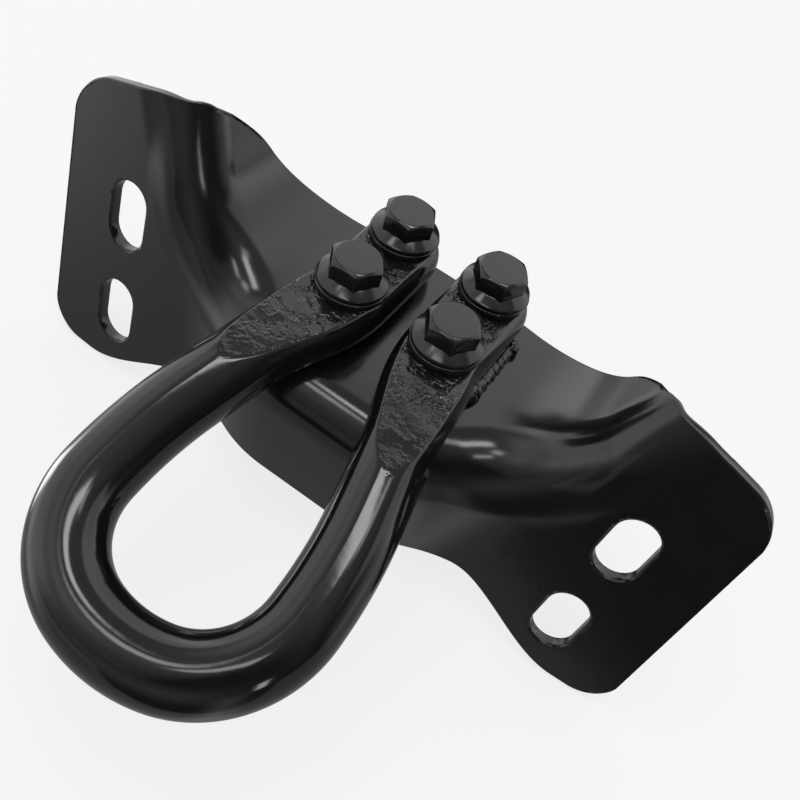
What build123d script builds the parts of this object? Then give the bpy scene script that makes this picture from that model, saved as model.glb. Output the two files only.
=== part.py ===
from build123d import *
import math
import os

# Recovery tow hook: a forged loop of round bar, bolted and welded to a pressed mounting bracket.
# X runs across the vehicle, -Y points forward along the pull, Z is up along the bolts.
# The origin lies midway between the four bolts, on the flat top of the loop's two pads.

# Fasteners, M12 with a flange
thread_diameter = 12.0
bolt_length = 40.0
bolt_across_flats = 18.0
bolt_head_height = 10.4
bolt_top_diameter = 16.4
bolt_chamfer_angle = 30.0
flange_diameter = 26.0
flange_thickness = 2.0
flange_cone_diameter = 20.0
flange_cone_height = 1.6
washer_diameter = 27.0
washer_thickness = 2.5
washer_clearance = 0.5
bolt_tip_chamfer = 1.0
nut_height = 12.0
hole_clearance = 0.75
thread_clearance = 0.1
seat_clearance = 0.1
bolt_offset_x = 20.0
bolt_offset_y = 17.5

# Tow loop, one forged bar
bar_diameter = 25.0
pad_thickness = 16.0
pad_spread = 3.0
pad_rounding = 2.0
loop_dip_angle = 14.2
flare_bend_radius = 60.0
flare_section_count = 7
loop_half_width = 38.8
loop_shoulder_width = 6.5
loop_shoulder_fullness = 0.9425
loop_start_y = -73.0
loop_start_drop = 0.15
loop_front_y = -152.6
loop_corner_inset = 3.8
loop_front_flattening = 15.0
seam_angle = 25.0
spread_start_y = -60.0
spread_end_y = -28.0
underside_slope = 0.5
underside_flat_end_y = -50.5

# Bracket, one pressed sheet
sheet_thickness = 5.0
front_face_y = -60.0
front_bend_radius = 15.0
outer_bend_radius = 24.0
front_half_width = 33.0
front_sweep_angle = 33.0
front_fold_blend = 9.0
front_lower_edge = -65.0
ramp_start_x = 38.0
ramp_bend_radius = 45.0
ramp_angle = 66.0
rear_edge_y = 31.0
rear_edge_bow = 9.0
rear_fall = 24.0
rear_fall_start = 72.0
rear_fall_end = 92.0
ramp_foot = 60.0
wing_fold_blend = 9.0
wing_yaw = 3.1
wing_lean = 12.3
wing_outer_edge = 30.8
wing_edge_taper = 2.9
wing_corner_radius = 14.0
wing_drop = 22.5
wing_drop_start = 60.0
wing_top_z = 30.6
wing_top_start = 90.0
wing_top_slope = 0.19
wing_flat_clearance = 0.76
hump_rounding = 6.0

# How finely the sheet is traced, and the viewpoints behind it that its sections are traced from
section_count = 26
section_point_count = 22
ray_count = 160
halving_count = 42
ray_reach = 400.0
slope_step = 0.02
lowest_ray_angle = 262.0
middle_ray_angle = 140.0
highest_ray_angle = 4.0
inner_spine = (-25.0, -42.0)
outer_spine = (20.0, -30.0)
spine_shift_start = 55.0
spine_shift_end = 95.0

# Mounting slots in each wing
slot_width = 16.0
slot_length = 28.0
slot_pitch = 43.6
slot_lean = 4.3
upper_slot = (107.9, -33.4, -18.8)

# Weld bead along the outer side of each arm
weld_bead_radius = 3.4
weld_ripple_count = 11
weld_ripple_pitch = 2.8
weld_ripple_height = 0.4
weld_rear_y = 9.0
weld_height = 1.6

bar_radius = bar_diameter / 2
pad_axis_z = -pad_thickness / 2
plate_top_z = -pad_thickness
hole_radius = thread_diameter / 2 + hole_clearance
loop_corner_radius = loop_half_width - loop_corner_inset
loop_front_radius = loop_corner_radius + loop_front_flattening
loop_start_x = loop_half_width - loop_shoulder_width
clear_reach = 2 * (abs(loop_front_y) + bar_diameter)

# The wing is flat from where the bend between it and the ramp has ended at its highest place
ramp_turn = math.radians(ramp_angle)
ramp_centre_z = plate_top_z + ramp_bend_radius
ramp_clearance = (wing_top_z - ramp_centre_z) * math.cos(ramp_turn) + ramp_bend_radius + outer_bend_radius
wing_flat_start = ramp_start_x + ramp_clearance / math.sin(ramp_turn) + wing_flat_clearance


def smooth_step(value, start, end):
    """Rise smoothly from 0 at start to 1 at end."""
    t = min(max((value - start) / (end - start), 0.0), 1.0)
    return t * t * (3 - 2 * t)


def soft_max(a, b, width):
    """The larger of two values, with the corner between them rounded."""
    h = max(width - abs(a - b), 0.0) / width
    return max(a, b) + h * h * width / 4


def soft_min(a, b, width):
    """The smaller of two values, with the corner between them rounded."""
    return -soft_max(-a, -b, width)


def round_edge(a, b, radius):
    """Join two distances round an outer bend of the given radius."""
    reach = math.hypot(max(a + radius, 0.0), max(b + radius, 0.0))
    return min(max(a, b), -radius) + reach


# The unit normal of the right wing's front face
yaw = math.radians(wing_yaw)
lean = math.radians(wing_lean)
wing_normal = (math.sin(yaw) * math.cos(lean), -math.cos(yaw) * math.cos(lean), math.sin(lean))


def wing_distance(x, y, z):
    """How far a point stands in front of the right wing's face."""
    offsets = (x - upper_slot[0], y - upper_slot[1], z - upper_slot[2])
    return sum(n * d for n, d in zip(wing_normal, offsets))


def front_distance(x, y, z):
    """How far a point stands in front of the flange and the wing."""
    sweep = math.radians(front_sweep_angle)
    square = front_face_y - y
    swept = math.sin(sweep) * (x - front_half_width) - math.cos(sweep) * (y - front_face_y)
    flange = soft_max(square, swept, front_fold_blend)
    return soft_min(flange, wing_distance(x, y, z), wing_fold_blend)


def top_distance(x, z):
    """How far a point stands above the plate and the ramp that rises from it."""
    along = x - ramp_start_x
    drop = ramp_centre_z - z
    if along <= 0:
        return z - plate_top_z
    if math.atan2(along, drop) < ramp_turn and drop > 0:
        return ramp_bend_radius - math.hypot(along, drop)
    return ramp_bend_radius - drop * math.cos(ramp_turn) - along * math.sin(ramp_turn)


def sheet_distance(x, y, z):
    """Distance from the outer face of the sheet, negative inside the metal."""
    growth = smooth_step(x, front_half_width / 2, ramp_start_x + bar_radius)
    radius = front_bend_radius + (outer_bend_radius - front_bend_radius) * growth
    return round_edge(top_distance(x, z), front_distance(x, y, z), radius)


def rear_edge(x):
    """The rear limit of the sheet in plan: a shallow curve that runs forward up the ramp."""
    bow = rear_edge_bow * (min(x, rear_fall_end) / ramp_foot) ** 2
    return rear_edge_y - bow - rear_fall * smooth_step(x, rear_fall_start, rear_fall_end)


def upper_edge(x):
    """The top limit of the wing."""
    return wing_top_z - wing_top_slope * (x - wing_top_start)


def lower_edge(x):
    """The lower limit of the flange and the wing."""
    return front_lower_edge - wing_drop * smooth_step(x, wing_drop_start, wing_flat_start)


def spine(x):
    """A point behind the sheet from which every part of one section can be seen."""
    t = smooth_step(x, spine_shift_start, spine_shift_end)
    return tuple(a + (b - a) * t for a, b in zip(inner_spine, outer_spine))


def hit(x, angle):
    """Where a ray from the spine meets the outer face."""
    y0, z0 = spine(x)
    near, far = 0.0, ray_reach
    for _ in range(halving_count):
        mid = (near + far) / 2
        if sheet_distance(x, y0 + mid * math.cos(angle), z0 + mid * math.sin(angle)) < 0:
            near = mid
        else:
            far = mid
    return (y0 + near * math.cos(angle), z0 + near * math.sin(angle))


def edge_angle(x, start, end, beyond):
    """The ray angle at which the section passes a limit."""
    for _ in range(halving_count):
        mid = (start + end) / 2
        if beyond(*hit(x, mid)):
            end = mid
        else:
            start = mid
    return start


def section_points(x, count):
    """Points on the outer face at one station, evenly spaced from the lower edge to the rear edge."""
    middle, lowest, highest = (
        math.radians(angle) for angle in (middle_ray_angle, lowest_ray_angle, highest_ray_angle))
    low = edge_angle(x, middle, lowest, lambda y, z: z < lower_edge(x))
    high = edge_angle(
        x, middle, highest,
        lambda y, z: soft_max(y - rear_edge(x), z - upper_edge(x), hump_rounding) > 0)
    fan = [hit(x, low + (high - low) * i / ray_count) for i in range(ray_count + 1)]
    lengths = [0.0]
    for (y0, z0), (y1, z1) in zip(fan, fan[1:]):
        lengths.append(lengths[-1] + math.hypot(y1 - y0, z1 - z0))
    points = []
    k = 0
    for i in range(count + 1):
        target = lengths[-1] * i / count
        while k < ray_count - 1 and lengths[k + 1] < target:
            k += 1
        t = (target - lengths[k]) / (lengths[k + 1] - lengths[k])
        y, z = (a + (b - a) * t for a, b in zip(fan[k], fan[k + 1]))
        points.append((x, y, z))
    return points


def inner_point(point):
    """The point on the inner face behind a point of the outer face."""
    slopes = []
    for axis in range(3):
        ahead = list(point)
        behind = list(point)
        ahead[axis] += slope_step
        behind[axis] -= slope_step
        ahead[0] = abs(ahead[0])
        behind[0] = abs(behind[0])
        slopes.append(sheet_distance(*ahead) - sheet_distance(*behind))
    length = math.hypot(*slopes)
    return tuple(p - sheet_thickness * s / length for p, s in zip(point, slopes))


def sheet_section(x):
    """The closed outline of the sheet at one station."""
    outer = section_points(x, section_point_count)
    inner = [inner_point(p) for p in outer]
    edges = [
        Spline(*outer),
        Line(outer[-1], inner[-1]),
        Spline(*reversed(inner)),
        Line(inner[0], outer[0]),
    ]
    return Wire(edges)


def wing_plane():
    """The front face of the right wing, with its origin at the upper slot and its x axis outward."""
    outward = (math.cos(yaw), math.sin(yaw), 0.0)
    return Plane(origin=upper_slot, x_dir=outward, z_dir=wing_normal)


def through_cut(sketch):
    """A cutter that passes well through the wing on both sides of its front face."""
    return extrude(wing_plane() * sketch, amount=slot_width, both=True)


def wing_local(point):
    """A point of the right wing's front face, in the face's own coordinates."""
    local = wing_plane().to_local_coords(Vector(*point))
    return (local.X, local.Y)


def make_wing():
    """The flat outer end of the right wing: a straight outer edge between two rounded corners."""
    root = section_points(wing_flat_start, section_point_count)
    low, high = wing_local(root[0]), wing_local(root[-1])
    slope = math.tan(math.radians(wing_edge_taper))
    top = high[1] - wing_top_slope * (wing_outer_edge - high[0])
    outline = make_face(Polyline(
        low, (wing_outer_edge + slope * low[1], low[1]), (wing_outer_edge + slope * top, top), high,
        close=True))
    corners = outline.vertices().sort_by(Axis.X)[2:]
    return extrude(wing_plane() * fillet(corners, wing_corner_radius), amount=-sheet_thickness)


def slot_cut():
    """The two mounting slots of the wing, one above the other along their common long axis."""
    direction = math.radians(90 - slot_lean)
    one = Rot(0, 0, 90 - slot_lean) * SlotOverall(slot_length, slot_width)
    return one + Pos(-slot_pitch * math.cos(direction), -slot_pitch * math.sin(direction)) * one


def bolt_places():
    """The four bolt axes, at the flat top of the pads."""
    return [Pos(x, y) for x in (-bolt_offset_x, bolt_offset_x) for y in (-bolt_offset_y, bolt_offset_y)]


def bolt_holes():
    """Clearance holes for the bolts through the pads and the plate."""
    return [place * Cylinder(hole_radius, clear_reach) for place in bolt_places()]


def make_bracket():
    """The pressed bracket, made as its right half and mirrored."""
    stations = [wing_flat_start * i / section_count for i in range(section_count + 1)]
    half = Solid.make_loft([sheet_section(x) for x in stations]) + make_wing()
    half = half - through_cut(slot_cut())
    whole = half + mirror(half, Plane.YZ)
    return whole - bolt_holes()


def bar_section(plane, spread):
    """The bar's outline across its axis: two round sides, drawn apart by the spread."""
    side_x = spread + bar_radius * math.sin(math.radians(seam_angle))
    side_y = bar_radius * math.cos(math.radians(seam_angle))
    edges = [
        ThreePointArc((-side_x, side_y), (0, bar_radius), (side_x, side_y)),
        ThreePointArc((side_x, side_y), (spread + bar_radius, 0), (side_x, -side_y)),
        ThreePointArc((side_x, -side_y), (0, -bar_radius), (-side_x, -side_y)),
        ThreePointArc((-side_x, -side_y), (-spread - bar_radius, 0), (-side_x, side_y)),
    ]
    return (plane * make_face(edges)).face()


# The loop lies in a plane of its own, which dips towards its front
dip = math.radians(loop_dip_angle)
loop_plane = Plane(
    origin=(0, loop_start_y, -bar_radius - loop_start_drop),
    x_dir=(1, 0, 0), z_dir=(0, -math.sin(dip), math.cos(dip)))
loop_front = (loop_front_y - loop_start_y) / math.cos(dip)
front_half_turn = math.asin(loop_corner_inset / loop_front_flattening)
loop_side_y = loop_front + loop_front_radius - loop_front_flattening * math.cos(front_half_turn)

# The shoulder bend is the arc that meets both the arm and the loop's widest place smoothly
widest_shoulder_radius = (loop_side_y ** 2 + loop_shoulder_width ** 2) / (2 * loop_shoulder_width)
shoulder_radius = loop_shoulder_fullness * widest_shoulder_radius
arm_length = math.sqrt(2 * loop_shoulder_width * (widest_shoulder_radius - shoulder_radius))
loop_flare = math.atan2(shoulder_radius, arm_length) - math.atan2(
    shoulder_radius - loop_shoulder_width, -loop_side_y)
flare = math.atan(math.tan(loop_flare) / math.cos(dip))
arm_direction = Vector(math.sin(loop_flare), -math.cos(loop_flare))


def loop_path():
    """The bar's centre line round the loop, from the right arm to the left, in the loop's own plane."""
    start = Vector(loop_start_x, 0)
    shoulder = start + arm_direction * arm_length
    side = Vector(loop_half_width, loop_side_y)
    corner_x = loop_front_radius * math.sin(front_half_turn)
    corner_y = loop_front + loop_front_radius * (1 - math.cos(front_half_turn))
    right = [
        Line(start, shoulder),
        TangentArc(shoulder, side, tangent=arm_direction),
        TangentArc(side, (corner_x, corner_y), tangent=(0, -1)),
    ]
    front_arc = ThreePointArc((corner_x, corner_y), (0, loop_front), (-corner_x, corner_y))
    left = [edge.mirror(Plane.YZ) for edge in reversed(right)]
    return Wire([loop_plane.from_local_coords(edge) for edge in right + [front_arc] + left])


def arm_height(y):
    """Height of the bar's centre along the arm, from the dipping loop up to the level pad."""
    dipping = -bar_radius - loop_start_drop + math.tan(dip) * (y - loop_start_y)
    return soft_min(dipping, pad_axis_z, pad_rounding)


def arm_section(y, x, turn):
    """The bar's section across the right arm at one place of its centre line."""
    drop = math.atan2(arm_height(y + slope_step) - arm_height(y - slope_step), 2 * slope_step)
    across = (math.cos(turn), math.sin(turn), 0.0)
    along = (math.sin(turn) * math.cos(drop), -math.cos(turn) * math.cos(drop), -math.sin(drop))
    plane = Plane(origin=(x, y, arm_height(y)), x_dir=across, z_dir=along)
    return bar_section(plane, pad_spread * smooth_step(y, spread_start_y, spread_end_y))


def loop_start():
    """The plane across the bar where the right arm meets the loop."""
    across = Vector(math.cos(loop_flare), math.sin(loop_flare))
    return Plane(
        origin=loop_plane.from_local_coords((loop_start_x, 0)),
        x_dir=loop_plane.from_local_coords(across) - loop_plane.origin,
        z_dir=loop_plane.from_local_coords(arm_direction) - loop_plane.origin)


def make_arm():
    """The right arm: a level pad with a round tail, flaring out and rounding down into the bar."""
    bend_y = loop_start_y + (loop_start_x - bolt_offset_x) / math.tan(flare)
    reach = flare_bend_radius * math.tan(flare / 2)
    bend_end_y = bend_y - reach * math.cos(flare)
    bend_start_y = bend_y + reach
    sections = [bar_section(loop_start(), 0.0)]
    for i in range(1, flare_section_count + 1):
        y = loop_start_y + (bend_end_y - loop_start_y) * i / flare_section_count
        sections.append(arm_section(y, loop_start_x - (y - loop_start_y) * math.tan(flare), flare))
    centre_x = bolt_offset_x + flare_bend_radius
    for turn in (flare / 2, 0.0):
        y = bend_start_y - flare_bend_radius * math.sin(turn)
        sections.append(arm_section(y, centre_x - flare_bend_radius * math.cos(turn), turn))
    shank = Solid.make_loft([face.outer_wire() for face in sections])
    end = sections[-1]
    pad = extrude(end, amount=bend_start_y - bolt_offset_y, dir=(0, -1, 0))
    side = Pos(bolt_offset_x, bend_start_y, pad_axis_z) * Rot(90, 0, 0) * Rectangle(
        bar_diameter, 2 * bar_diameter, align=(Align.MIN, Align.CENTER))
    tail = revolve(Pos(0, bolt_offset_y - bend_start_y) * (end & side),
                   axis=Axis((bolt_offset_x, bolt_offset_y, 0), (0, 0, 1)), revolution_arc=180)
    return (pad + tail) + shank


def make_loop():
    """The tow loop: the bar swept round its path, with both arms pressed flat into pads."""
    arm = make_arm()
    bar = sweep(bar_section(loop_start(), 0.0), path=loop_path())
    body = arm + bar + mirror(arm, Plane.YZ)
    reach = clear_reach
    above = Pos(0, 0, reach / 2) * Box(2 * reach, 2 * reach, reach)
    front_y = loop_start_y - bar_radius
    seat_z = plate_top_z + seat_clearance
    front_z = seat_z + underside_slope * (front_y - underside_flat_end_y)
    underside = Plane.YZ * make_face(Polyline(
        (reach, seat_z), (underside_flat_end_y, seat_z), (front_y, front_z),
        (front_y, -reach), (reach, -reach), close=True))
    below = extrude(underside, amount=reach, both=True)
    return body - above - below - bolt_holes()


def make_bolts():
    """Four flange bolts, each a shank, a coned flange and a hexagon head with a chamfered top."""
    seat = washer_thickness
    top = seat + bolt_head_height
    flange_top = seat + flange_thickness
    cone_top = flange_top + flange_cone_height
    hex_corner = bolt_across_flats / math.sqrt(3)
    chamfer_drop = (hex_corner - bolt_top_diameter / 2) * math.tan(math.radians(bolt_chamfer_angle))
    turned = make_face(Plane.XZ * Polyline(
        (0, top), (bolt_top_diameter / 2, top), (hex_corner, top - chamfer_drop),
        (hex_corner, seat), (0, seat), close=True))
    hexagon = extrude(RegularPolygon(bolt_across_flats / 2, 6, major_radius=False), amount=top)
    head = hexagon & revolve(turned, axis=Axis.Z)
    tip = seat - bolt_length
    body = make_face(Plane.XZ * Polyline(
        (0, cone_top), (flange_cone_diameter / 2, cone_top), (flange_diameter / 2, flange_top),
        (flange_diameter / 2, seat), (thread_diameter / 2, seat),
        (thread_diameter / 2, tip + bolt_tip_chamfer), (thread_diameter / 2 - bolt_tip_chamfer, tip),
        (0, tip), close=True))
    bolt = head + revolve(body, axis=Axis.Z)
    return Compound([place * bolt for place in bolt_places()])


def make_washers():
    """Four plain washers between the bolt flanges and the pads."""
    ring = Circle(washer_diameter / 2) - Circle(thread_diameter / 2 + washer_clearance)
    return Compound([place * extrude(ring, amount=washer_thickness) for place in bolt_places()])


def make_nuts():
    """Four flange nuts under the plate."""
    top = plate_top_z - sheet_thickness - seat_clearance
    flange = make_face(Plane.XZ * Polyline(
        (0, top), (flange_diameter / 2, top), (flange_diameter / 2, top - flange_thickness),
        (flange_cone_diameter / 2, top - flange_thickness - flange_cone_height),
        (0, top - flange_thickness - flange_cone_height), close=True))
    hexagon = Pos(0, 0, top - nut_height) * extrude(
        RegularPolygon(bolt_across_flats / 2, 6, major_radius=False), amount=nut_height)
    nut = hexagon + revolve(flange, axis=Axis.Z)
    nut = nut - Pos(0, 0, top) * Cylinder(thread_diameter / 2 + thread_clearance, clear_reach)
    return Compound([place * nut for place in bolt_places()])


def make_welds(bracket, loop):
    """A rippled weld bead in the corner between each arm's outer side and the plate."""
    length = weld_ripple_count * weld_ripple_pitch
    ripples = []
    for i in range(weld_ripple_count):
        start = i * weld_ripple_pitch
        ripples.append(ThreePointArc(
            (start, weld_bead_radius), (start + weld_ripple_pitch / 2, weld_bead_radius + weld_ripple_height),
            (start + weld_ripple_pitch, weld_bead_radius)))
    ends = Polyline((0, weld_bead_radius), (0, 0), (length, 0), (length, weld_bead_radius))
    bead = revolve(make_face(ripples + list(ends.edges())), axis=Axis.X)
    x = bolt_offset_x + pad_spread + bar_radius
    place = Pos(x, weld_rear_y, plate_top_z + weld_height) * Rot(0, 0, -90)
    right = place * bead - loop - bracket
    return Compound([right, mirror(right, Plane.YZ)])


bracket = make_bracket()
tow_loop = make_loop()
parts = {
    "bracket": bracket,
    "tow_loop": tow_loop,
    "flange_bolts": make_bolts(),
    "washers": make_washers(),
    "flange_nuts": make_nuts(),
    "weld_beads": make_welds(bracket, tow_loop),
}

os.makedirs("parts", exist_ok=True)
for name, shape in parts.items():
    export_step(shape, f"parts/{name}.step")
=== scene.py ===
import logging
import math
from dataclasses import dataclass
from enum import Enum
from typing import ClassVar

import bmesh
import bpy
import numpy as np
from mathutils import Matrix, Vector, noise


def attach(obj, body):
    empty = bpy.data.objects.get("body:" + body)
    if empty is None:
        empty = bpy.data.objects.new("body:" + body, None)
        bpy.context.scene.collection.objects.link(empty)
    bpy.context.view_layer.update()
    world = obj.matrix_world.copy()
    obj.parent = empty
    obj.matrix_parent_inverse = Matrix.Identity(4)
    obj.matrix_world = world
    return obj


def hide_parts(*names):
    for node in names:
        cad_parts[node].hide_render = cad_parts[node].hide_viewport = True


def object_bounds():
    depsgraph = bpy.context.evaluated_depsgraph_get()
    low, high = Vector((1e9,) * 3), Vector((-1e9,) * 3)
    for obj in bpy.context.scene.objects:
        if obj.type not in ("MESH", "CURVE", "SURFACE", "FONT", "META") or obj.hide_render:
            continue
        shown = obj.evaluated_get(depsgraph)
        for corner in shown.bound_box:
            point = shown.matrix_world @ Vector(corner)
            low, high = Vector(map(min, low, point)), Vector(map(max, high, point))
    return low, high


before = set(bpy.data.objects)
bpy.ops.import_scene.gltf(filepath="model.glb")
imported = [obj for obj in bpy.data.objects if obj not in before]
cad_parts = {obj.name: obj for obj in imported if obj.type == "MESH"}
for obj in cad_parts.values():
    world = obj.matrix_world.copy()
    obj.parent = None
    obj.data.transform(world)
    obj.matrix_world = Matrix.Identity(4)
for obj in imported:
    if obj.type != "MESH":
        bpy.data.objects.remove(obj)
cad_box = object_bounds()

log = logging.getLogger("recovery_hook")

MM = 0.001
MIRROR = np.array([-1.0, 1.0, 1.0])

Faces = list[tuple[int, ...]]
Solid = tuple[np.ndarray, Faces]


class Slot(Enum):
    """The record's material slots."""

    BRACKET = "bracket_paint"
    LOOP = "loop_paint"
    BOLT = "bolt_coating"


class Effect(Enum):
    """Names of the shared shader effects."""

    ORANGE_PEEL = "orange_peel"
    FORGED_PITS = "forged_pits"
    DUST = "fine_dust"
    SOFT_BOX = "soft_box"


class NodePad:
    """A node tree that is filled through short calls."""

    def __init__(self, tree: bpy.types.NodeTree) -> None:
        """Keep the tree that the nodes are added to."""
        self.tree = tree

    def fill(self, socket: bpy.types.NodeSocket, value: object) -> None:
        """Link a socket to another one, or give it a plain value.

        Args:
            socket: The input that is filled.
            value: An output of another node, or a value.
        """
        if isinstance(value, bpy.types.NodeSocket):
            self.tree.links.new(value, socket)
        else:
            socket.default_value = value

    def add(self, kind: str, inputs: dict[str | int, object], **options: object) -> bpy.types.Node:
        """Add a node.

        Args:
            kind: The node's type, without the words that the types of all shader nodes start with.
            inputs: A socket or a value for each input that is used.
            options: The node's own settings.

        Returns:
            The node.
        """
        node = self.tree.nodes.new("ShaderNode" + kind)
        for name, option in options.items():
            setattr(node, name, option)
        for key, value in inputs.items():
            self.fill(node.inputs[key], value)
        return node

    def math(self, operation: str, first: object, second: object = None,
             clamp: bool = False) -> bpy.types.NodeSocket:
        """Add a math node.

        Args:
            operation: The math node's operation.
            first: A socket or a number.
            second: A socket or a number, where the operation takes two.
            clamp: Whether the result is kept between 0 and 1.

        Returns:
            The node's output.
        """
        inputs = {0: first} if second is None else {0: first, 1: second}
        return self.add("Math", inputs, operation=operation, use_clamp=clamp).outputs[0]


class EffectGroup(NodePad):
    """A shader node group that several finishes share."""

    def __init__(self, effect: Effect, inputs: dict[str, float | None], output: str) -> None:
        """Start a group with its named sockets.

        Args:
            effect: Which of the shared effects it is.
            inputs: The default of each numeric input, and None for a direction.
            output: The name of its one output.
        """
        super().__init__(bpy.data.node_groups.new(effect.value, "ShaderNodeTree"))
        self.start = self.tree.nodes.new("NodeGroupInput")
        self.end = self.tree.nodes.new("NodeGroupOutput")
        for name, default in inputs.items():
            kind = "NodeSocketVector" if default is None else "NodeSocketFloat"
            socket = self.tree.interface.new_socket(name, in_out="INPUT", socket_type=kind)
            if default is not None:
                socket.default_value = default
        self.tree.interface.new_socket(output, in_out="OUTPUT", socket_type="NodeSocketFloat")

    def given(self, name: str) -> bpy.types.NodeSocket:
        """Give the socket of one of the group's inputs."""
        return self.start.outputs[name]

    def finish(self, result: bpy.types.NodeSocket) -> bpy.types.NodeTree:
        """Put out the result and give the finished group."""
        self.fill(self.end.inputs[0], result)
        return self.tree

    def place(self) -> bpy.types.NodeSocket:
        """Give the object's own coordinates in metres."""
        return self.add("TexCoord", {}).outputs["Object"]

    def noise(self, place: bpy.types.NodeSocket, scale: object, detail: float,
              roughness: float = 0.5) -> bpy.types.NodeSocket:
        """Add a noise texture.

        Args:
            place: The coordinates that are sampled.
            scale: A socket or a number.
            detail: How many octaves are added.
            roughness: How strong the finer octaves are.

        Returns:
            The noise's factor.
        """
        inputs = {"Vector": place, "Scale": scale, "Detail": detail, "Roughness": roughness}
        return self.add("TexNoise", inputs).outputs["Fac"]

    def ramp(self, value: bpy.types.NodeSocket, start: float, slope: float) -> bpy.types.NodeSocket:
        """Rise in a straight line from 0 to 1.

        Args:
            value: The value that is judged.
            start: Where the rise starts.
            slope: How steep it is.

        Returns:
            A value between 0 and 1.
        """
        return self.math("MULTIPLY", self.math("SUBTRACT", value, start), slope, clamp=True)


def orange_peel_group() -> bpy.types.NodeTree:
    """Make the faint waviness of sprayed and baked paint.

    Returns:
        A group with one Height output, in metres.
    """
    group = EffectGroup(Effect.ORANGE_PEEL, {"Scale": 420.0, "Depth": 0.00002}, "Height")
    place = group.place()
    fine = group.noise(place, group.given("Scale"), detail=1.5)
    broad = group.math("MULTIPLY", group.noise(place, 90.0, detail=1.0), 2.2)
    return group.finish(group.math("MULTIPLY", group.math("ADD", fine, broad), group.given("Depth")))


def forged_pits_group() -> bpy.types.NodeTree:
    """Make the coarse pitted skin that a hot press leaves on the flats of the pads.

    Returns:
        A group with one Height output, in metres.
    """
    group = EffectGroup(Effect.FORGED_PITS, {"Depth": 0.0002}, "Height")
    place = group.place()
    level = group.add("SeparateXYZ", {0: place}).outputs
    facing = group.add("SeparateXYZ", {0: group.add("NewGeometry", {}).outputs["Normal"]}).outputs
    facing_up = group.ramp(facing["Z"], start=0.97, slope=60.0)
    mask = group.math("MULTIPLY", facing_up, group.ramp(level["Z"], start=-0.0012, slope=900.0))
    from_tip = group.ramp(level["Y"], start=-0.066, slope=40.0)
    worn = group.math("ADD", group.math("MULTIPLY", from_tip, 0.65), 0.35)
    plateau = group.ramp(group.noise(place, 165.0, detail=3.0, roughness=0.6), start=0.40, slope=8.0)
    fine = group.math("MULTIPLY", group.noise(place, 620.0, detail=2.0), 0.22)
    broad = group.math("MULTIPLY", group.noise(place, 70.0, detail=1.0), 2.4)
    skin = group.math("ADD", group.math("MULTIPLY", plateau, worn), fine)
    height = group.math("MULTIPLY", group.math("ADD", skin, broad), mask)
    return group.finish(group.math("MULTIPLY", height, group.given("Depth")))


def dust_group() -> bpy.types.NodeTree:
    """Make a sparse uneven veil that dulls the gloss a little.

    Returns:
        A group with one Amount output between 0 and 1.
    """
    group = EffectGroup(Effect.DUST, {"Scale": 24.0}, "Amount")
    veil = group.noise(group.place(), group.given("Scale"), detail=4.0, roughness=0.62)
    return group.finish(group.ramp(veil, start=0.42, slope=3.0))


@dataclass(frozen=True)
class Finish:
    """A black coating and the texture that it carries.

    Attributes:
        name: The material's name.
        shade: The coating's linear grey.
        roughness: The smallest roughness of the surface.
        veil: How much the roughness rises where the surface is less even.
        peel_scale: How fine the paint's waviness is.
        peel_depth: How deep the paint's waviness is, in metres.
        pits_depth: How deep the pressed skin is, in metres.
    """

    name: str
    shade: float
    roughness: float
    veil: float
    peel_scale: float
    peel_depth: float
    pits_depth: float = 0.0

    def build(self, groups: dict[Effect, bpy.types.NodeTree]) -> bpy.types.Material:
        """Make the material.

        Args:
            groups: The shared effects by name.

        Returns:
            The finished material.
        """
        material = bpy.data.materials.new(self.name)
        material.use_nodes = True
        pad = NodePad(material.node_tree)
        dust = pad.add("Group", {}, node_tree=groups[Effect.DUST])
        dulled = pad.add("MapRange", {
            "Value": dust.outputs["Amount"],
            "To Min": self.roughness,
            "To Max": self.roughness + self.veil,
        })
        peel = {"Scale": self.peel_scale, "Depth": self.peel_depth}
        height = pad.add("Group", peel, node_tree=groups[Effect.ORANGE_PEEL]).outputs["Height"]
        if self.pits_depth > 0:
            pits = pad.add("Group", {"Depth": self.pits_depth}, node_tree=groups[Effect.FORGED_PITS])
            height = pad.math("ADD", height, pits.outputs["Height"])
        bump = pad.add("Bump", {"Distance": 1.0, "Strength": 1.0, "Height": height})
        shader = material.node_tree.nodes["Principled BSDF"]
        pad.fill(shader.inputs["Base Color"], (self.shade, self.shade, self.shade, 1.0))
        pad.fill(shader.inputs["Roughness"], dulled.outputs["Result"])
        pad.fill(shader.inputs["Normal"], bump.outputs["Normal"])
        return material


class Paintwork:
    """The finishes of the part, by slot."""

    FINISHES = {
        Slot.BRACKET: Finish("bracket_paint", shade=0.006, roughness=0.13, veil=0.07,
                             peel_scale=420.0, peel_depth=0.000012),
        Slot.LOOP: Finish("loop_paint", shade=0.006, roughness=0.09, veil=0.05,
                          peel_scale=300.0, peel_depth=0.000012, pits_depth=0.0003),
        Slot.BOLT: Finish("bolt_coating", shade=0.007, roughness=0.12, veil=0.08,
                          peel_scale=900.0, peel_depth=0.000008),
    }

    def __init__(self) -> None:
        """Make the shared effects and the materials."""
        groups = {
            Effect.ORANGE_PEEL: orange_peel_group(),
            Effect.FORGED_PITS: forged_pits_group(),
            Effect.DUST: dust_group(),
        }
        self.materials = {slot: finish.build(groups) for slot, finish in self.FINISHES.items()}

    def dress(self, piece: bpy.types.Object, slot: Slot) -> None:
        """Give a piece its slot's finish."""
        piece.data.materials.clear()
        piece.data.materials.append(self.materials[slot])


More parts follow.
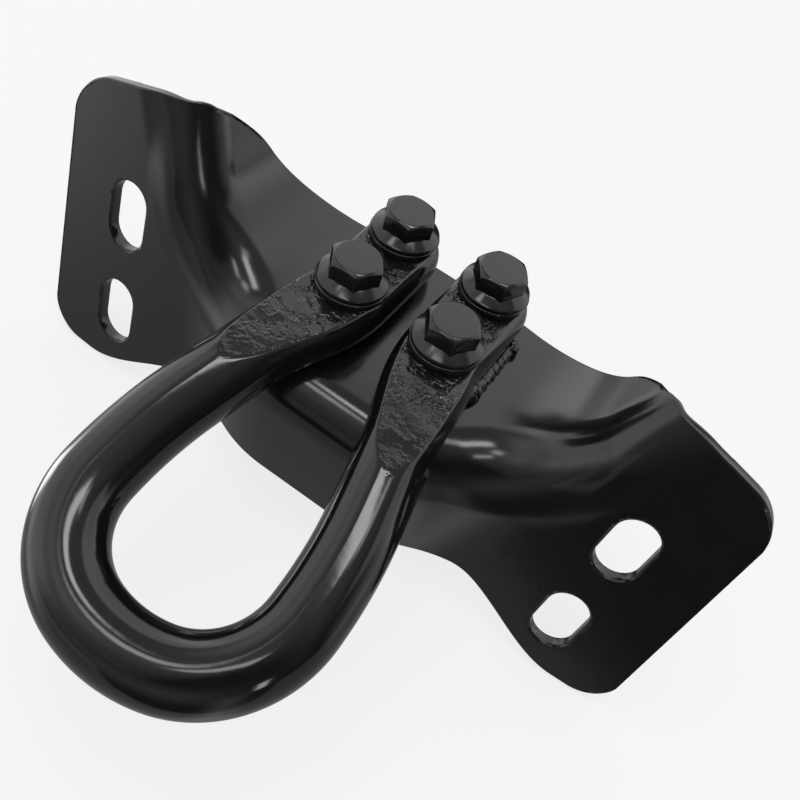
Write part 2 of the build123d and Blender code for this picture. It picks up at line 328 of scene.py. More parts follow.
@dataclass(frozen=True)
class SubAssembly:
    """Pieces with one finish that stand for nodes of the frame."""

    finish: ClassVar[Slot]

    def build(self) -> dict[str, bpy.types.Object]:
        """Make the pieces, each under the name of the node that it stands for."""
        raise NotImplementedError

    def install(self, paintwork: Paintwork) -> None:
        """Build and dress the pieces, and hide the CAD parts that they stand for.

        Args:
            paintwork: The part's finishes.
        """
        for node, piece in self.build().items():
            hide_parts(node)
            paintwork.dress(piece, self.finish)
            log.info("%s: %d faces, %s", piece.name, len(piece.data.polygons), self.finish.value)


def smooth_step(value: np.ndarray | float, start: float, end: float) -> np.ndarray:
    """Rise smoothly from 0 to 1.

    Args:
        value: The values that are judged.
        start: Where the rise starts.
        end: Where the rise ends.

    Returns:
        The rise at each value.
    """
    t = np.clip((value - start) / (end - start), 0.0, 1.0)
    return t * t * (3 - 2 * t)


def soft_max(a: np.ndarray | float, b: np.ndarray | float, width: np.ndarray | float) -> np.ndarray:
    """Take the larger of two values and round the corner between them.

    Args:
        a: The first values.
        b: The second values.
        width: How wide the rounding is.

    Returns:
        The rounded maximum.
    """
    h = np.maximum(width - np.abs(a - b), 0.0) / width
    return np.maximum(a, b) + h * h * width / 4


def soft_min(a: np.ndarray | float, b: np.ndarray | float, width: np.ndarray | float) -> np.ndarray:
    """Take the smaller of two values and round the corner between them."""
    return -soft_max(-a, -b, width)


def unit(vectors: np.ndarray) -> np.ndarray:
    """Scale the vectors in the last axis to length one."""
    return vectors / np.linalg.norm(vectors, axis=-1, keepdims=True)


def crossing(places: np.ndarray, values: np.ndarray) -> float:
    """Find the place at which values first turn positive.

    Args:
        places: The places that were sampled.
        values: The value at each of them.

    Returns:
        The place, between the two samples on each side of it.
    """
    k = int(np.argmax(values > 0))
    share = values[k - 1] / (values[k - 1] - values[k])
    return float(places[k - 1] + (places[k] - places[k - 1]) * share)


def mesh_piece(name: str, points: np.ndarray, faces: Faces) -> bpy.types.Object:
    """Make a smooth mesh object from points in millimetres.

    Args:
        name: The piece's name.
        points: The places of its vertices, in mm.
        faces: The vertex numbers of each face.

    Returns:
        The object, linked to the scene and riding on the part.
    """
    mesh = bpy.data.meshes.new(name)
    mesh.from_pydata((np.asarray(points) * MM).tolist(), [], faces)
    mesh.validate()
    mesh.shade_smooth()
    piece = bpy.data.objects.new(name, mesh)
    bpy.context.scene.collection.objects.link(piece)
    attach(piece, "root")
    return piece


def band(first: int, second: int, count: int, turned: bool = False) -> Faces:
    """Join two closed rings of points with quads.

    Args:
        first: The number of the first ring's first point.
        second: The number of the second ring's first point.
        count: How many points each ring has.
        turned: Whether the quads face the other way.

    Returns:
        The quads.
    """
    steps = [(i, (i + 1) % count) for i in range(count)]
    quads = [(first + i, first + j, second + j, second + i) for i, j in steps]
    return [(a, d, c, b) for a, b, c, d in quads] if turned else quads


@dataclass(frozen=True)
class SheetShape:
    """The pressed sheet's outer face as a distance, for the right half, in mm and radians."""

    # The plate, the front flange, and the bend between them.
    thickness: float = 5.0
    plate_top: float = -16.0
    front_y: float = -60.0
    front_lower: float = -65.0
    front_bend: float = 15.0
    outer_bend: float = 24.0
    bend_growth: tuple[float, float] = (16.5, 50.5)
    # The swept flange outside the middle, and the hump above it.
    half_width: float = 33.0
    sweep: float = math.radians(33.0)
    fold_blend: float = 9.0
    hump_blend: float = 15.0
    hump_rise: tuple[float, float] = (-32.0, 12.0)
    hump_end: tuple[float, float] = (88.0, 110.0)
    hump_rounding: float = 6.0
    # The ramp from the plate up to the hump.
    ramp_start: float = 38.0
    ramp_bend: float = 45.0
    ramp_turn: float = math.radians(66.0)
    # The rear edge, which bows forward and falls away at the hump's outer corner.
    rear_y: float = 31.0
    rear_bow: float = 4.1
    bow_reach: float = 50.0
    bow_power: float = 3.6
    rear_fall: float = 14.0
    rear_corner: tuple[float, float] = (78.0, 94.0)
    rear_floor: float = -10.0
    rear_rounding: float = 3.0
    # The wing: its face, its edges and its upper slot.
    wing_yaw: float = math.radians(3.1)
    wing_lean: float = math.radians(12.3)
    wing_start: float = 115.0
    wing_edge: float = 30.8
    wing_taper: float = math.radians(2.9)
    wing_corner: float = 14.0
    wing_drop: float = 22.5
    drop_start: float = 60.0
    wing_top: float = 32.1
    wing_slope: float = 0.31
    top_start: float = 106.0
    top_slope: float = 0.36
    top_rounding: float = 4.0
    slot_place: tuple[float, float, float] = (107.9, -33.4, -18.8)
    # Where a station's rays start, as Y and Z, in the middle and at the wing.
    eye_middle: tuple[float, float] = (-25.0, -42.0)
    eye_wing: tuple[float, float] = (20.0, -30.0)
    eye_shift: tuple[float, float] = (55.0, 95.0)

    @property
    def wing_normal(self) -> np.ndarray:
        """Give the outward normal of the right wing's front face."""
        level, rise = math.cos(self.wing_lean), math.sin(self.wing_lean)
        return np.array([math.sin(self.wing_yaw) * level, -math.cos(self.wing_yaw) * level, rise])

    @property
    def wing_axes(self) -> tuple[np.ndarray, np.ndarray]:
        """Give the wing face's outward and upward directions."""
        outward = np.array([math.cos(self.wing_yaw), math.sin(self.wing_yaw), 0.0])
        return outward, np.cross(self.wing_normal, outward)

    def distance(self, p: np.ndarray) -> np.ndarray:
        """Measure how far points stand outside the outer face.

        Args:
            p: The points, in mm.

        Returns:
            The distances, negative inside the metal.
        """
        x, y, z = np.abs(p[..., 0]), p[..., 1], p[..., 2]
        wing = (np.stack([x, y, z], axis=-1) - self.slot_place) @ self.wing_normal
        swept = math.sin(self.sweep) * (x - self.half_width) - math.cos(self.sweep) * (y - self.front_y)
        flange = soft_max(self.front_y - y, swept, self.fold_blend)
        on_hump = smooth_step(z, *self.hump_rise) * (1 - smooth_step(x, *self.hump_end))
        front = soft_min(flange, wing, self.fold_blend + self.hump_blend * on_hump)
        along, drop = x - self.ramp_start, self.plate_top + self.ramp_bend - z
        ramp = -drop * math.cos(self.ramp_turn) - along * math.sin(self.ramp_turn) + self.ramp_bend
        in_bend = (np.arctan2(along, drop) < self.ramp_turn) & (drop > 0)
        top = np.where(in_bend, self.ramp_bend - np.hypot(along, drop), ramp)
        top = np.where(along <= 0, z - self.plate_top, top)
        radius = self.front_bend + (self.outer_bend - self.front_bend) * smooth_step(x, *self.bend_growth)
        reach = np.hypot(np.maximum(top + radius, 0.0), np.maximum(front + radius, 0.0))
        return np.minimum(np.maximum(top, front), -radius) + reach

    def normal(self, p: np.ndarray, step: float = 0.02) -> np.ndarray:
        """Give the outward normals at points near the outer face.

        Args:
            p: The points, in mm.
            step: How far to each side of a point the distance is measured, in mm.

        Returns:
            The unit normals.
        """
        slopes = [self.distance(p + step * axis) - self.distance(p - step * axis) for axis in np.eye(3)]
        return unit(np.stack(slopes, axis=-1))

    def outside(self, p: np.ndarray) -> np.ndarray:
        """Measure how far points lie beyond the sheet's rear and upper edges.

        Args:
            p: The points, in mm.

        Returns:
            Positive values beyond the edge.
        """
        x, y, z = p[..., 0], p[..., 1], p[..., 2]
        bow = self.rear_bow * (np.minimum(x, self.rear_corner[1]) / self.bow_reach) ** self.bow_power
        fall = self.rear_fall * smooth_step(x, *self.rear_corner)
        rear = soft_max(self.rear_y - bow - fall, self.rear_floor, self.rear_rounding)
        sloping = self.wing_top - self.top_slope * (x - self.top_start)
        top = soft_min(self.wing_top, sloping, self.top_rounding)
        return soft_max(y - rear, z - top, self.hump_rounding)

    def cast(self, eye: np.ndarray, angles: np.ndarray) -> np.ndarray:
        """Find where rays in an upright plane leave the metal.

        Args:
            eye: The point that the rays start from, inside the outer face.
            angles: Their directions, in radians upwards from the rear.

        Returns:
            A point of the outer face on each ray.
        """
        reach, halvings = 400.0, 44
        rays = np.stack([np.zeros_like(angles), np.cos(angles), np.sin(angles)], axis=-1)
        near, far = np.zeros_like(angles), np.full_like(angles, reach)
        for _ in range(halvings):
            middle = (near + far) / 2
            inside = self.distance(eye + middle[..., None] * rays) < 0
            near, far = np.where(inside, middle, near), np.where(inside, far, middle)
        return eye + near[..., None] * rays

    def station(self, x: float, count: int) -> np.ndarray:
        """Trace the outer face at one place across the part.

        Args:
            x: The place across the part, in mm.
            count: How many points are wanted.

        Returns:
            Evenly spaced points from the lower edge to the rear edge.
        """
        t = smooth_step(x, *self.eye_shift)
        eye = np.array([x, *(a + (b - a) * t for a, b in zip(self.eye_middle, self.eye_wing))])
        lower = self.front_lower - self.wing_drop * smooth_step(x, self.drop_start, self.wing_start)
        front_up, below, behind, looks = 140.0, 262.0, 4.0, 250
        downward = np.radians(np.linspace(front_up, below, looks))
        rearward = np.radians(np.linspace(front_up, behind, looks))
        low = crossing(downward, lower - self.cast(eye, downward)[:, 2])
        high = crossing(rearward, self.outside(self.cast(eye, rearward)))
        fan = self.cast(eye, np.linspace(low, high, 4 * count))
        lengths = np.concatenate([[0.0], np.cumsum(np.linalg.norm(np.diff(fan, axis=0), axis=1))])
        wanted = np.linspace(0.0, lengths[-1], count)
        return np.stack([np.interp(wanted, lengths, fan[:, i]) for i in range(3)], axis=-1)

    def wing_reach(self, v: float) -> float:
        """Give how far out the wing's edge is at a height, both measured from the upper slot."""
        return self.wing_edge + math.tan(self.wing_taper) * v

    def right_half(self, columns: int, count: int) -> np.ndarray:
        """Sample the outer face from the middle to the wing's outer edge.

        Args:
            columns: How many stations there are up to the flat of the wing.
            count: How many points each station has.

        Returns:
            The points as stations by points by coordinates.
        """
        stations = [self.station(x, count) for x in np.linspace(0.0, self.wing_start, columns)]
        outward, upward = self.wing_axes
        root = stations[-1] - self.slot_place
        low_u, low_v = root[0] @ outward, root[0] @ upward
        high_u, high_v = root[-1] @ outward, root[-1] @ upward
        top_v = high_v - self.wing_slope * (self.wing_reach(high_v) - high_u)
        low_span, top_span = self.wing_reach(low_v) - low_u, self.wing_reach(top_v) - high_u
        corner, flat_columns, corner_columns = self.wing_corner, 13, 15
        flat = np.linspace(0.0, 1.0, flat_columns + 1)[1:]
        turns = np.linspace(0.0, math.pi / 2, corner_columns + 1)[1:]
        away = np.concatenate([low_span + (corner - low_span) * flat, corner * (1 - np.sin(turns))])
        rise = np.concatenate([np.zeros(flat_columns), corner * (1 - np.cos(turns))])
        steps = np.linspace(0.0, 1.0, count)[:, None]
        for from_edge, lift in zip(away, rise):
            share = (low_span - from_edge) / (low_span - corner)
            top_away = top_span + (corner - top_span) * share if share < 1 else from_edge
            bottom = np.array([self.wing_reach(low_v + lift) - from_edge, low_v + lift])
            line = high_v - self.wing_slope * (self.wing_reach(top_v) - top_away - high_u)
            top = np.array([self.wing_reach(line - lift) - top_away, line - lift])
            uv = bottom + (top - bottom) * steps
            stations.append(self.slot_place + uv[:, :1] * outward + uv[:, 1:] * upward)
        return np.stack(stations)


@dataclass(frozen=True)
class PressedBracket(SubAssembly):
    """The pressed sheet with rounded cut edges and two slots in each wing, in mm and radians.

    Its bolt holes are left out, because the pads and nuts cover them.
    """

    finish: ClassVar[Slot] = Slot.BRACKET
    shape: SheetShape = SheetShape()
    columns: int = 92
    count: int = 120
    edge_radius: float = 0.8
    slot_half_width: float = 8.0
    slot_half_run: float = 6.0
    slot_pitch: float = 43.6
    slot_lean: float = math.radians(4.3)
    end_steps: int = 14

    def build(self) -> dict[str, bpy.types.Object]:
        """Make the sheet's two faces and its rounded edge, and cut the slots."""
        right = self.shape.right_half(self.columns, self.count)
        outer = np.concatenate([right[:0:-1] * MIRROR, right])
        rows, cols = outer.shape[:2]
        rim = ([(i, 0) for i in range(rows)] + [(rows - 1, j) for j in range(1, cols)]
               + [(i, cols - 1) for i in range(rows - 2, -1, -1)] + [(0, j) for j in range(cols - 2, 0, -1)])
        i, j = np.array(rim).T
        edge = outer[i, j]
        normals = self.shape.normal(edge)
        outward = unit(np.cross(np.roll(edge, -1, axis=0) - np.roll(edge, 1, axis=0), normals))
        inner_point = outer[np.clip(i, 1, rows - 2), np.clip(j, 1, cols - 2)]
        if np.einsum("ij,ij->i", outward, edge - inner_point).sum() < 0:
            outward = -outward
        r, depth = self.edge_radius, self.shape.thickness
        outer[i, j] = edge - r * outward
        inner = outer - depth * self.shape.normal(outer)
        turns = np.radians([22.5, 45.0, 67.5, 90.0])
        sinks = [(a, r * (1 - math.cos(a))) for a in turns]
        sinks += [(a, depth - sink) for a, sink in sinks[::-1]]
        rings = [edge + outward * r * (math.sin(a) - 1) - normals * sink for a, sink in sinks]

        sheet = rows * cols
        numbers = np.arange(sheet).reshape(rows, cols)
        corners = [numbers[:-1, :-1], numbers[1:, :-1], numbers[1:, 1:], numbers[:-1, 1:]]
        quads = np.stack(corners, axis=-1).reshape(-1, 4)
        faces = quads.tolist() + (quads[:, ::-1] + sheet).tolist()
        loops = [2 * sheet + k * len(rim) + np.arange(len(rim)) for k in range(len(rings))]
        loops = [numbers[i, j], *loops, numbers[i, j] + sheet]
        for upper, lower in zip(loops, loops[1:]):
            faces += np.stack([upper, lower, np.roll(lower, -1), np.roll(upper, -1)], axis=-1).tolist()
        points = np.concatenate([outer.reshape(-1, 3), inner.reshape(-1, 3), *rings])
        piece = mesh_piece("pressed_bracket", points, faces)
        self.cut_slots(piece)
        self.set_normals(piece)
        return {"bracket": piece}

    def slot_cutter(self) -> bpy.types.Object:
        """Make the body that cuts the four slots, with flared ends that round their rims.

        Returns:
            The cutter.
        """
        outward, upward = self.shape.wing_axes
        along = upward * math.cos(self.slot_lean) + outward * math.sin(self.slot_lean)
        across = outward * math.cos(self.slot_lean) - upward * math.sin(self.slot_lean)
        r, clear_height, clear_growth = self.edge_radius, 2.0, 0.7
        turns = np.radians([20.0, 45.0, 67.5, 90.0])
        rim = [(-r * (1 - math.cos(a)), r * (1 - math.sin(a))) for a in turns]
        profile = [(clear_height, rim[0][1] + clear_growth), *rim]
        profile += [(-self.shape.thickness - height, growth) for height, growth in profile[::-1]]
        angles = np.linspace(0.0, math.pi, self.end_steps)
        ends = [(self.slot_half_run, angle) for angle in angles]
        ends += [(-self.slot_half_run, angle) for angle in angles + math.pi]
        points, faces = [], []
        for side, pitch in ((1.0, 0.0), (1.0, self.slot_pitch), (-1.0, 0.0), (-1.0, self.slot_pitch)):
            rings = []
            for height, growth in profile:
                ring = list(range(len(points), len(points) + len(ends)))
                rings.append(ring if side > 0 else ring[::-1])
                for end, angle in ends:
                    u = (self.slot_half_width + growth) * math.cos(angle)
                    v = (self.slot_half_width + growth) * math.sin(angle) + end
                    p = self.shape.slot_place + u * across + (v - pitch) * along
                    p = p + height * self.shape.wing_normal
                    points.append(p * np.array([side, 1.0, 1.0]))
            for lower, upper in zip(rings[1:], rings):
                faces += zip(lower, lower[1:] + lower[:1], upper[1:] + upper[:1], upper)
            faces += [tuple(rings[0]), tuple(reversed(rings[-1]))]
        mesh = bpy.data.meshes.new("slot_cutter")
        mesh.from_pydata((np.array(points) * MM).tolist(), [], faces)
        cutter = bpy.data.objects.new("slot_cutter", mesh)
        bpy.context.scene.collection.objects.link(cutter)
        return cutter

    def cut_slots(self, piece: bpy.types.Object) -> None:
        """Cut the two slots of each wing.

        Args:
            piece: The sheet's mesh object.
        """
        cutter = self.slot_cutter()
        cut = piece.modifiers.new("slots", "BOOLEAN")
        cut.operation = "DIFFERENCE"
        cut.solver = "EXACT"
        cut.object = cutter
        graph = bpy.context.evaluated_depsgraph_get()
        result = bpy.data.meshes.new_from_object(piece.evaluated_get(graph))
        piece.modifiers.clear()
        whole, piece.data = piece.data, result
        cutter_mesh = cutter.data
        bpy.data.objects.remove(cutter)
        for spent in (whole, cutter_mesh):
            bpy.data.meshes.remove(spent)
        result.name = piece.name
        result.shade_smooth()

    def set_normals(self, piece: bpy.types.Object) -> None:
        """Give the sheet's two faces the form's own normals, so that reflections run smoothly.

        Args:
            piece: The finished mesh object.
        """
        mesh = piece.data
        places, normals = np.empty((2, len(mesh.vertices) * 3))
        mesh.vertices.foreach_get("co", places)
        mesh.vertices.foreach_get("normal", normals)
        places, normals = places.reshape(-1, 3) / MM, normals.reshape(-1, 3)
        exact = self.shape.normal(places)
        facing = np.einsum("ij,ij->i", normals, exact)
        on_face, nearly_parallel = 0.05, 0.9
        front = (np.abs(self.shape.distance(places)) < on_face) & (facing > nearly_parallel)
        back = facing < -nearly_parallel
        normals[front] = exact[front]
        normals[back] = -exact[back]
        mesh.normals_split_custom_set_from_vertices(normals.tolist())


@dataclass(frozen=True)
class BarShape:
    """The tow loop's centre line and section, in mm and radians."""

    radius: float = 12.5
    pad_axis: float = -8.0
    pad_blend: float = 2.0
    pad_half_gap: float = 20.0
    tail_y: float = 17.5
    bend_radius: float = 60.0
    spread: float = 3.0
    spread_span: tuple[float, float] = (-60.0, -28.0)
    dip: float = math.radians(14.2)
    flare: float = math.radians(13.2)
    start_x: float = 32.3
    start_y: float = -73.0
    start_z: float = -12.65
    half_width: float = 38.8
    front_y: float = -152.6
    corner_radius: float = 35.0
    front_radius: float = 50.0
    seat_z: float = -15.9
    slope_start: float = -50.5
    slope: float = 0.5
    press_rounding: float = 0.5

    def height(self, y: np.ndarray) -> np.ndarray:
        """Give the height of the arm's centre line at places along it."""
        dipping = self.start_z + math.tan(self.dip) * (y - self.start_y)
        return soft_min(dipping, self.pad_axis, self.pad_blend)

    def arm(self, step: float) -> tuple[np.ndarray, np.ndarray]:
        """Follow the right arm from the pad's tail to the loop.

        Args:
            step: The distance between stations, in mm.

        Returns:
            The places and the turn of the arm at each of them.
        """
        bend_y = self.start_y + (self.start_x - self.pad_half_gap) / math.tan(self.flare)
        reach = self.bend_radius * math.tan(self.flare / 2)
        bend_start, bend_end = bend_y + reach, bend_y - reach * math.cos(self.flare)
        y = np.arange(self.tail_y, self.start_y, -step)
        bending = np.arcsin(np.clip((bend_start - y) / self.bend_radius, 0, math.sin(self.flare)))
        turn = np.where(y > bend_start, 0.0, np.where(y > bend_end, bending, self.flare))
        bent = self.pad_half_gap + self.bend_radius * (1 - np.cos(turn))
        x = np.where(y > bend_end, bent, self.start_x - (y - self.start_y) * math.tan(self.flare))
        return np.column_stack([x, y, self.height(y)]), turn

    def loop(self, step: float) -> tuple[np.ndarray, np.ndarray]:
        """Follow the loop from its right start to the middle of its front.

        Args:
            step: The distance between stations, in mm.

        Returns:
            The places in the loop's own plane and the turn at each of them.
        """
        flare = math.atan(math.tan(self.flare) * math.cos(self.dip))
        front = (self.front_y - self.start_y) / math.cos(self.dip)
        spare = self.front_radius - self.corner_radius
        half_turn = math.asin((self.half_width - self.corner_radius) / spare)
        side_y = front + self.front_radius - spare * math.cos(half_turn)
        across = self.half_width - self.start_x
        shoulder = (-side_y * math.sin(flare) - across * math.cos(flare)) / (1 - math.cos(flare))
        straight = (-side_y - shoulder * math.sin(flare)) / math.cos(flare)
        runs = (
            (straight, 0.0),
            (shoulder * flare, -1 / shoulder),
            (self.corner_radius * (math.pi / 2 - half_turn), -1 / self.corner_radius),
            (self.front_radius * half_turn, -1 / self.front_radius),
        )
        points, turns = [np.array([self.start_x, 0.0])], [flare]
        for length, bend in runs:
            count = max(round(length / step), 1)
            piece = length / count
            chord = piece if bend == 0 else 2 * math.sin(piece * bend / 2) / bend
            for _ in range(count):
                middle = turns[-1] + bend * piece / 2
                points.append(points[-1] + chord * np.array([math.sin(middle), -math.cos(middle)]))
                turns.append(turns[-1] + bend * piece)
        return np.array(points), np.array(turns)


@dataclass(frozen=True)
class TowLoop(SubAssembly):
    """The forged bar: two pressed pads with round tails, two arms and the loop, in mm and radians."""

    finish: ClassVar[Slot] = Slot.LOOP
    shape: BarShape = BarShape()
    sides: int = 152
    step: float = 1.05
    seam: float = math.radians(25.0)
    tail_steps: int = 56
    merging: float = 0.01

    def section(self, spread: np.ndarray) -> tuple[np.ndarray, np.ndarray]:
        """Give the bar's outline across its axis.

        Args:
            spread: How far its two sides are drawn apart, at each station.

        Returns:
            The distance across and the height of each point.
        """
        angles = np.linspace(0.0, 2 * math.pi, self.sides, endpoint=False)
        aside = np.sin(np.clip(np.sin(angles) / math.sin(self.seam), -1.0, 1.0) * math.pi / 2)
        across = self.shape.radius * np.sin(angles) + spread[:, None] * aside
        return across, np.broadcast_to(self.shape.radius * np.cos(angles), across.shape)

    def arm_rings(self) -> np.ndarray:
        """Give the right pad's and arm's outlines, from the tail forward."""
        shape = self.shape
        places, turn = shape.arm(self.step)
        across, up = self.section(shape.spread * smooth_step(places[:, 1], *shape.spread_span))
        reach = 0.05
        rise = shape.height(places[:, 1] + reach) - shape.height(places[:, 1] - reach)
        drop = np.arctan(rise / (2 * reach))
        sideways = np.column_stack([np.cos(turn), np.sin(turn), np.zeros_like(turn)])
        forward = np.column_stack([np.sin(turn) * np.cos(drop), -np.cos(turn) * np.cos(drop), -np.sin(drop)])
        upward = np.cross(sideways, -forward)
        return places[:, None] + across[..., None] * sideways[:, None] + up[..., None] * upward[:, None]

    def loop_rings(self) -> np.ndarray:
        """Give the outlines of the loop's right half, up to the middle of its front."""
        shape = self.shape
        flat, turn = shape.loop(self.step)
        rightward = np.array([1.0, 0.0, 0.0])
        in_plane = np.array([0.0, math.cos(shape.dip), math.sin(shape.dip)])
        normal = np.array([0.0, -math.sin(shape.dip), math.cos(shape.dip)])
        start = np.array([0.0, shape.start_y, shape.start_z])
        centre = start + flat[:, :1] * rightward + flat[:, 1:] * in_plane
        sideways = np.cos(turn)[:, None] * rightward + np.sin(turn)[:, None] * in_plane
        across, up = self.section(np.zeros(len(flat)))
        rings = centre[:, None] + across[..., None] * sideways[:, None] + up[..., None] * normal
        rings[-1, :, 0] = 0.0
        return rings

    def press(self, points: np.ndarray) -> np.ndarray:
        """Flatten the pads' tops and undersides, with the narrow rounding a press leaves.

        Args:
            points: The points of the round bar.

        Returns:
            The pressed points.
        """
        shape = self.shape
        seat = shape.seat_z + shape.slope * np.minimum(points[..., 1] - shape.slope_start, 0.0)
        flattened = soft_min(points[..., 2], 0.0, shape.press_rounding)
        pressed = points.copy()
        pressed[..., 2] = soft_max(flattened, seat, shape.press_rounding)
        return pressed

    def tail(self, ring: np.ndarray) -> np.ndarray:
        """Turn half of an outline about the tail's upright axis.

        Args:
            ring: The pad's first outline.

        Returns:
            The points as turns by points by coordinates.
        """
        x, y = self.shape.pad_half_gap, self.shape.tail_y
        half = ring[:self.sides // 2 + 1]
        radius, height = half[:, 0] - x, half[:, 2]
        turns = np.linspace(0.0, math.pi, self.tail_steps)
        return np.stack([
            np.column_stack([radius * math.cos(a) + x, radius * math.sin(a) + y, height]) for a in turns])

    def build(self) -> dict[str, bpy.types.Object]:
        """Make the bar as one closed mesh from its right half."""
        rings = self.press(np.concatenate([self.arm_rings(), self.loop_rings()]))
        numbers = np.arange(rings[..., 0].size).reshape(rings.shape[:2])
        following = np.roll(numbers, -1, axis=1)
        quads = np.stack([numbers[:-1], numbers[1:], following[1:], following[:-1]], axis=-1).reshape(-1, 4)
        tail = self.tail(rings[0])
        tail_numbers = np.arange(tail[..., 0].size).reshape(tail.shape[:2]) + numbers.size
        a, b = tail_numbers[:-1], tail_numbers[1:]
        tail_quads = np.stack([a[:, :-1], a[:, 1:], b[:, 1:], b[:, :-1]], axis=-1).reshape(-1, 4)
        points = np.concatenate([rings.reshape(-1, 3), tail.reshape(-1, 3)])
        faces = np.concatenate([quads, tail_quads])
        both = np.concatenate([faces, faces[:, ::-1] + len(points)])
        piece = mesh_piece("forged_loop", np.concatenate([points, points * MIRROR]), both.tolist())
        closed = bmesh.new()
        closed.from_mesh(piece.data)
        bmesh.ops.remove_doubles(closed, verts=closed.verts, dist=self.merging * MM)
        bmesh.ops.recalc_face_normals(closed, faces=closed.faces)
        closed.to_mesh(piece.data)
        closed.free()
        piece.data.shade_smooth()
        return {"tow_loop": piece}


@dataclass(frozen=True)
class WeldBeads(SubAssembly):
    """The uneven fillet weld in the corner between each arm and the plate.

    Attributes:
        start_y: Where a bead starts, in mm.
        length: The bead's length, in mm.
        corner: The place across and the height of its axis, in mm.
        radius: Its mean radius, in mm.
        pitch: The distance between its ripples, in mm.
        ripple: How high the ripples are, in mm.
        swells: The place, width and height of each thick end, in mm.
        wander: How far the axis strays, in mm.
        rows: How many steps it has along its length.
        sides: How many points each outline has.
    """

    finish: ClassVar[Slot] = Slot.BRACKET
    start_y: float = 17.0
    length: float = 38.8
    corner: tuple[float, float] = (35.5, -14.4)
    radius: float = 2.3
    pitch: float = 3.4
    ripple: float = 0.2
    swells: tuple[tuple[float, float, float], ...] = ((2.5, 3.0, 1.0), (33.0, 2.4, 0.55))
    wander: float = 0.5
    rows: int = 150
    sides: int = 44

    def outline(self, share: float, side: float) -> list[tuple[float, float, float]]:
        """Give a bead's outline at one place along it.

        Args:
            share: How far along the bead it is, from 0 to 1.
            side: 1 for the right bead, -1 for the left one.

        Returns:
            The outline's points, in mm.
        """
        along = self.length * share
        end = math.sqrt(max(1 - (2 * share - 1) ** 16, 0.0))
        uneven = 0.3 * noise.noise((along * 0.4, side * 7, 0))
        ripple = self.ripple * abs(math.sin(math.pi * (along / self.pitch + uneven)))
        swell = sum(height * math.exp(-(((along - place) / width) ** 2))
                    for place, width, height in self.swells)
        wander = self.wander * noise.noise((along * 0.2, 3.0, side))
        points = []
        for angle in (2 * math.pi * k / self.sides for k in range(self.sides)):
            direction = Vector((math.cos(angle), 0.0, math.sin(angle)))
            sample = Vector((side * 40 + direction.x * 2.2, along * 0.9, direction.z * 2.2))
            rough = (0.3 + 0.8 * swell) * noise.fractal(sample * 0.42, 0.8, 2.1, 4)
            radius = end * (self.radius + ripple + swell + rough)
            x = side * (self.corner[0] + radius * direction.x + wander)
            points.append((x, self.start_y - along, self.corner[1] + radius * direction.z))
        return points

    def build(self) -> dict[str, bpy.types.Object]:
        """Make both beads as one piece."""
        points, faces = [], []
        for side in (1.0, -1.0):
            start = len(points)
            for row in range(self.rows + 1):
                points += self.outline(row / self.rows, side)
            for first in range(start, start + self.rows * self.sides, self.sides):
                ends = (first, first + self.sides) if side > 0 else (first + self.sides, first)
                faces += band(*ends, self.sides)
        return {"weld_beads": mesh_piece("weld_bead_pair", np.array(points), faces)}


def lathe(profile: list[tuple[float, float]], segments: int) -> Solid:
    """Turn a profile about the Z axis.

    Args:
        profile: Radius and height of each point, from the axis outwards and down, in mm.
        segments: How many steps the turn has.

    Returns:
        The points and the faces.
    """
    turns = np.linspace(0.0, 2 * math.pi, segments, endpoint=False)
    rings = [np.column_stack([r * np.cos(turns), r * np.sin(turns), np.full(segments, z)])
             for r, z in profile]
    faces = []
    for first in range(0, (len(profile) - 1) * segments, segments):
        faces += band(first, first + segments, segments, turned=True)
    return np.concatenate(rings), faces


def rounded(profile: list[tuple[float, float]], radius: float, steps: int = 4) -> list[tuple[float, float]]:
    """Round the inner corners of a profile.

    Args:
        profile: The corner points.
        radius: The rounding, in mm.
        steps: How many pieces each corner gets.

    Returns:
        The profile with its corners rounded.
    """
    most = 0.45
    points = [Vector(p) for p in profile]
    result = [tuple(points[0])]
    for before, corner, after in zip(points, points[1:], points[2:]):
        reach = min(radius, (before - corner).length * most, (after - corner).length * most)
        start = corner + (before - corner).normalized() * reach
        end = corner + (after - corner).normalized() * reach
        for k in range(steps + 1):
            t = k / steps
            result.append(tuple(start * (1 - t) ** 2 + corner * 2 * t * (1 - t) + end * t * t))
    result.append(tuple(points[-1]))
    return result


